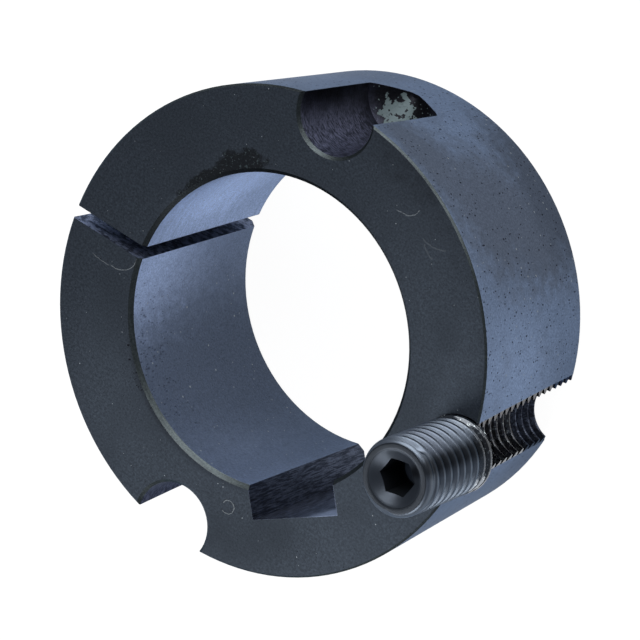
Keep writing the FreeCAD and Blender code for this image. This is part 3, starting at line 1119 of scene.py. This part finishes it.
    def worn(self, ground: Ground, masks: Any, lay: Socket) -> Any:
        """Place the machined wear, with pits and specks of each surface's own size.

        Args:
            ground: What the finish is written on.
            masks: Each surface's mask.
            lay: Where the tool marks are looked for.

        Returns:
            The wear's outputs.
        """
        graph = ground.graph
        sizes = self.pit_sizes
        size = graph.blend(masks["Face"], sizes["Taper"], sizes["Face"])
        size = graph.blend(masks["Bore"], size, sizes["Bore"])
        size = graph.blend(self.pitted.mask(ground), size, sizes["Pitted"])
        return graph.use(self.effects.wear, {
            "Point": ground.point, "Lay": lay, "Pit Size": size,
            "Pit Place": graph.vector("MULTIPLY", ground.around, self.pit_stretch),
            "Speck Size": graph.blend(masks["Face"], self.speck_size, self.face_speck_size)})

    def grained_with_painted_light(self, ground: Ground, colour: Input, grain: Input) -> Socket:
        """Make a colour lighter and darker by the grain and by the painted light and shade of the broad
        patches.

        Args:
            ground: What the finish is written on.
            colour: The colour.
            grain: The fine grain, about a half.

        Returns:
            The colour so changed.
        """
        graph = ground.graph
        painted_light = graph.weighted(*[(patch.mask(ground), self.painted_light_share) for patch in self.painted_light_patches])
        strength = graph.product(graph.math("MULTIPLY_ADD", grain, 1.4, 0.30), graph.math("ADD", painted_light, 1.0))
        return graph.node("ShaderNodeVectorMath", {0: colour, 3: strength}, operation="SCALE").outputs[0]

    def painted_drill_point_glint(self, ground: Ground, pocket_end: Input, drops: Input) -> Socket:
        """Write the mask of the painted highlight at the drill point, shaped as a greasy smear: one blotch
        with holes, and drops.

        Args:
            ground: What the finish is written on.
            pocket_end: The drill points' mask.
            drops: The oil's drops.

        Returns:
            The mask.
        """
        graph = ground.graph
        blotch = graph.product(graph.step(self.painted_glint.mask(ground), 0.45, 0.55),
                               graph.step(graph.noise(ground.point, scale=1.0), 0.40, 0.44))
        return graph.product(pocket_end, graph.greatest(blotch, graph.step(drops, 0.75, 0.9)))

    def scratched(self, ground: Ground, face: Input) -> Socket:
        """Write the mask of all the fine marks on the large face.

        Args:
            ground: What the finish is written on.
            face: The two end faces' mask.

        Returns:
            The mask.
        """
        graph = ground.graph
        marks = [mark.mask(ground, self.surfaces.length) for mark in self.scratches]
        above = graph.step(graph.apart(ground.point)[2], 5.0, 6.0)
        return graph.product(face, above, graph.greatest(*marks))


@dataclass
class SteelFinish:
    """The screw's and the open thread's blackened, oiled steel.

    It is wet between two heights. Within the socket's mouth it is painted
    dark as shade, and more painted shade lies on the upper end and in a band
    round one bearing. The oil's glints are painted highlights.
    """

    name: str
    effects: Effects
    centre_x: float
    metal: Finish
    wet_low: float
    wet_high: float
    # Share of the painted shade and the bearing of its band, in degrees.
    shade: float = 0.0
    shade_bearing: float = 46.0
    mouth_radius: float = 4.1
    metallic: float = 0.92
    edge_tint: Colour = (0.40, 0.46, 0.56, 1)
    gloss: float = 0.06
    film_roughness: float = 0.14
    relief_strength: float = 0.5
    relief_depth: float = 0.02
    # Share of the painted shade within the socket's mouth.
    mouth_shade_share: float = 0.6
    wet_share: float = 0.75
    drop_size: float = 0.3
    film_share: float = 0.7
    oil_colour: Colour = (0.008, 0.008, 0.008, 1)
    # Share and colour of the oil's painted glints.
    glint_share: float = 0.6
    glint_colour: Colour = (0.34, 0.38, 0.39, 1)

    def material(self) -> bpy.types.Material:
        """Write the finish.

        Returns:
            The material.
        """
        made, graph, shader = start_metal(self.name, self.edge_tint, self.gloss)
        shader["Metallic"].default_value = self.metallic
        point = graph.millimetres()
        local = graph.vector("SUBTRACT", point, (self.centre_x, 0.0, 0.0))
        x, y, z = graph.apart(local)
        around = graph.unrolled(local)
        lay = graph.vector("MULTIPLY", around, self.metal.lay)
        wear = graph.use(self.effects.wear, {"Point": point, "Lay": lay})
        stain = graph.greatest(graph.product(wear["Clouds"], 0.5),
                               graph.product(graph.step(wear["Marks"], 0.62, 0.42), self.metal.marks))
        # Painted shade: a ragged dark band round one bearing, and the upper end painted dark.
        turned = graph.math("SUBTRACT", graph.apart(around)[0], way_round(self.shade_bearing))
        turned = graph.math("ADD", graph.math("ABSOLUTE", turned), graph.product(wear["Marks"], 4.0))
        shade = graph.greatest(graph.step(turned, 12.5, 4.0), graph.step(graph.upward(), *LEVEL))
        wet = graph.product(graph.step(z, self.wet_low - 1.0, self.wet_low),
                            graph.step(z, self.wet_high + 3.5, self.wet_high))
        oil = graph.use(self.effects.oil, {"Point": point, "Cover": graph.product(wet, self.wet_share),
                                           "Drop Size": self.drop_size})
        # Painted shade: all within the mouth's radius of the axis, the countersink, the socket and the tip's
        # end, is painted dark with the oil's colour.
        painted_socket_shade = graph.step(graph.distance(x, y), self.mouth_radius + 0.1, self.mouth_radius - 0.1)
        colour = graph.mix(stain, self.metal.colour, self.metal.stain)
        # The oil's colour paints the real oil film, and also the painted shade of the band, the upper end
        # and the socket's mouth.
        for mask, paint in ((graph.product(shade, self.shade), self.oil_colour),
                            (graph.product(oil["Film"], self.film_share), self.oil_colour),
                            (graph.product(painted_socket_shade, self.mouth_shade_share), self.oil_colour),
                            (graph.product(oil["Glints"], self.glint_share), self.glint_colour)):
            colour = graph.mix(mask, colour, paint)
        rough = graph.weighted((wear["Grain"], 0.1), (stain, 0.05), (1.0, self.metal.roughness - 0.05))
        for label, value in (("Base Color", colour),
                             ("Roughness", graph.blend(oil["Film"], rough, self.film_roughness)),
                             ("Coat Weight", graph.product(oil["Film"], 0.8))):
            graph.fill(shader[label], value)
        height = graph.weighted((wear["Marks"], 0.25), (wear["Grain"], 0.12), (oil["Drops"], 1.4))
        raise_relief(graph, shader, height, self.relief_strength, self.relief_depth)
        return made


# The studio


@dataclass(frozen=True)
class Softbox:
    """A soft lamp that faces the object, in degrees, metres and watts."""

    name: str
    azimuth: float
    elevation: float
    distance: float
    size: float
    power: float

    def build(self, target: Vector) -> None:
        """Place the lamp so that it looks at the target.

        Args:
            target: The point that it faces, in metres.
        """
        lamp = bpy.data.lights.new(self.name, "AREA")
        lamp.shape = "DISK"
        lamp.size = self.size
        lamp.energy = self.power
        azimuth, elevation = math.radians(self.azimuth), math.radians(self.elevation)
        away = Vector((math.cos(azimuth) * math.cos(elevation), math.sin(azimuth) * math.cos(elevation),
                       math.sin(elevation)))
        holder = linked(self.name, lamp)
        holder.location = target + self.distance * away
        holder.rotation_euler = away.to_track_quat("Z", "Y").to_euler()


@dataclass(frozen=True)
class PhotoCamera:
    """The photograph's viewpoint, measured on the bushing's circles.

    The bore's axis is turned sideways by yaw and tipped by pitch in the
    camera's view, and the bushing is turned about it by roll. The middle
    of the large face lies right of the view's axis, below it and in
    front of the camera by the given millimetres.
    """

    yaw: float = math.radians(-31.581)
    pitch: float = math.radians(9.912)
    roll: float = math.radians(-30.12)
    right: float = -7.395
    down: float = 1.766
    ahead: float = 654.77
    sensor_width: float = 36.0
    focal_share: float = 7.36003
    clip: tuple[float, float] = (0.01, 10.0)

    def build(self, length: float) -> None:
        """Make the camera and set it as the scene's own.

        Args:
            length: The bushing's length, from the origin to the large face.
        """
        axis = Vector((math.sin(self.yaw) * math.cos(self.pitch), math.sin(self.pitch),
                       -math.cos(self.yaw) * math.cos(self.pitch)))
        side = Vector((math.cos(self.yaw), 0, math.sin(self.yaw)))
        third = axis.cross(side)
        row_x = math.cos(self.roll) * side + math.sin(self.roll) * third
        row_y = -math.sin(self.roll) * side + math.cos(self.roll) * third
        to_row = Matrix((row_x, row_y, axis))
        origin = Vector((self.right, self.down, self.ahead)) - length * axis
        place = Matrix.Translation(to_row @ (-origin) * MM)
        turn = (to_row @ Matrix.Diagonal((1, -1, -1))).to_4x4()
        lens = bpy.data.cameras.new("photo_camera")
        lens.sensor_width = self.sensor_width
        lens.lens = self.sensor_width * self.focal_share
        lens.clip_start, lens.clip_end = self.clip
        camera = linked("photo_camera", lens)
        camera.matrix_world = place @ turn
        bpy.context.scene.camera = camera


@dataclass
class Studio:
    """A white floor, soft lamps and a pale world."""

    target: Vector
    floor_half_width: float = 6.0
    floor_drop: float = 0.0004
    floor_paint: Colour = (0.8, 0.8, 0.8, 1)
    floor_glow: float = 1.1
    floor_white: float = 0.88
    white: Colour = (1, 1, 1, 1)
    sky: Colour = (0.22, 0.24, 0.28, 1)
    lamps: tuple[Softbox, ...] = (
        Softbox("key_softbox", 108, 36, 0.9, 0.85, 8.5),
        Softbox("front_softbox", 64, 22, 0.9, 0.3, 1.3),
        Softbox("side_softbox", -62, 34, 1.0, 0.5, 3.0),
        Softbox("face_fill", -97, 52, 0.157, 0.09, 0.105),
    )

    def floor(self) -> None:
        """Make the floor, white to the camera and in reflections, with its shadow kept."""
        half = self.floor_half_width
        mesh = bpy.data.meshes.new("floor")
        corners = [(-half, -half, 0), (half, -half, 0), (half, half, 0), (-half, half, 0)]
        mesh.from_pydata(corners, [], [(0, 1, 2, 3)])
        plane = linked("floor", mesh)
        plane.location = (0, 0, -self.floor_drop)
        made = bpy.data.materials.new("white_floor")
        made.use_nodes = True
        graph = Graph(made.node_tree)
        made.node_tree.nodes.remove(made.node_tree.nodes["Principled BSDF"])
        seen = graph.node("ShaderNodeLightPath", {}).outputs
        shown = graph.greatest(seen["Is Camera Ray"], seen["Is Glossy Ray"], seen["Is Transmission Ray"])
        paint = graph.node("ShaderNodeBsdfDiffuse", {"Color": self.floor_paint})
        glow = graph.node("ShaderNodeEmission", {"Color": self.white, "Strength": self.floor_glow})
        share = graph.product(shown, self.floor_white)
        both = graph.node("ShaderNodeMixShader", {0: share, 1: paint.outputs[0], 2: glow.outputs[0]})
        graph.fill(made.node_tree.nodes["Material Output"].inputs["Surface"], both.outputs[0])
        mesh.materials.append(made)

    def world(self) -> None:
        """Make the world pale, and white where the camera sees it."""
        world = bpy.data.worlds.new("studio")
        world.use_nodes = True
        graph = Graph(world.node_tree)
        seen = graph.node("ShaderNodeLightPath", {})
        colour = graph.mix(seen.outputs["Is Camera Ray"], self.sky, self.white)
        graph.fill(world.node_tree.nodes["Background"].inputs["Color"], colour)
        bpy.context.scene.world = world

    def build(self) -> None:
        """Build the floor, the world and the lamps, and set the plain view transform."""
        self.floor()
        self.world()
        for lamp in self.lamps:
            lamp.build(self.target)
        bpy.context.scene.view_settings.view_transform = "Standard"


# The whole object


@dataclass
class TaperBushing:
    """The bushing, its open thread and its screw."""

    surfaces: Surfaces = field(default_factory=Surfaces)
    thread: Thread = field(default_factory=Thread)
    screw_metal: Finish = Finish((0.116, 0.138, 0.168, 1), (0.082, 0.092, 0.120, 1), 0.37, 0.2,
                                 (0.3, 3.0, 3.0), unrolled=True)
    thread_metal: Finish = Finish((0.098, 0.112, 0.150, 1), (0.010, 0.010, 0.013, 1), 0.26, 0.8,
                                  (0.5, 2.0, 2.0), unrolled=True)
    thread_tint: Colour = (0.28, 0.33, 0.40, 1)
    # Share of the painted shade on the screw's band and upper end.
    screw_shade: float = 0.8
    wet_above_face: float = 1.0
    thread_wet_from: float = 8.0

    def build(self) -> None:
        """Build and dress every piece."""
        effects = Effects()
        iron = BushFinish(self.surfaces, effects).material()
        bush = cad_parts["split_bush"]
        for number in range(len(bush.material_slots)):
            bush.material_slots[number].material = iron
        LOG.info("dressed %s", bush.name)
        length, centre = self.surfaces.length, self.surfaces.hole_centre
        low, high = (corner.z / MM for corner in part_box("grub_screw"))
        screw = GrubScrew(self.thread, centre, low, high).build()
        steel = SteelFinish("blackened_steel_screw", effects, centre, self.screw_metal, low,
                            length + self.wet_above_face, shade=self.screw_shade)
        thread = OpenThread(self.thread, centre, length, self.surfaces.large_radius).build()
        wet = SteelFinish("oiled_half_hole_thread", effects, centre, self.thread_metal, self.thread_wet_from,
                          length, edge_tint=self.thread_tint)
        for piece, finish in ((screw, steel), (thread, wet)):
            piece.data.materials.append(finish.material())
            LOG.info("built %s with %d faces", piece.name, len(piece.data.polygons))


def main() -> None:
    """Build the object, the camera and the studio."""
    logging.basicConfig(level=logging.INFO)
    bushing = TaperBushing()
    bushing.build()
    PhotoCamera().build(bushing.surfaces.length)
    Studio(Vector((0, 0, 0.5 * bushing.surfaces.length * MM))).build()


if __name__ == "__main__":
    main()
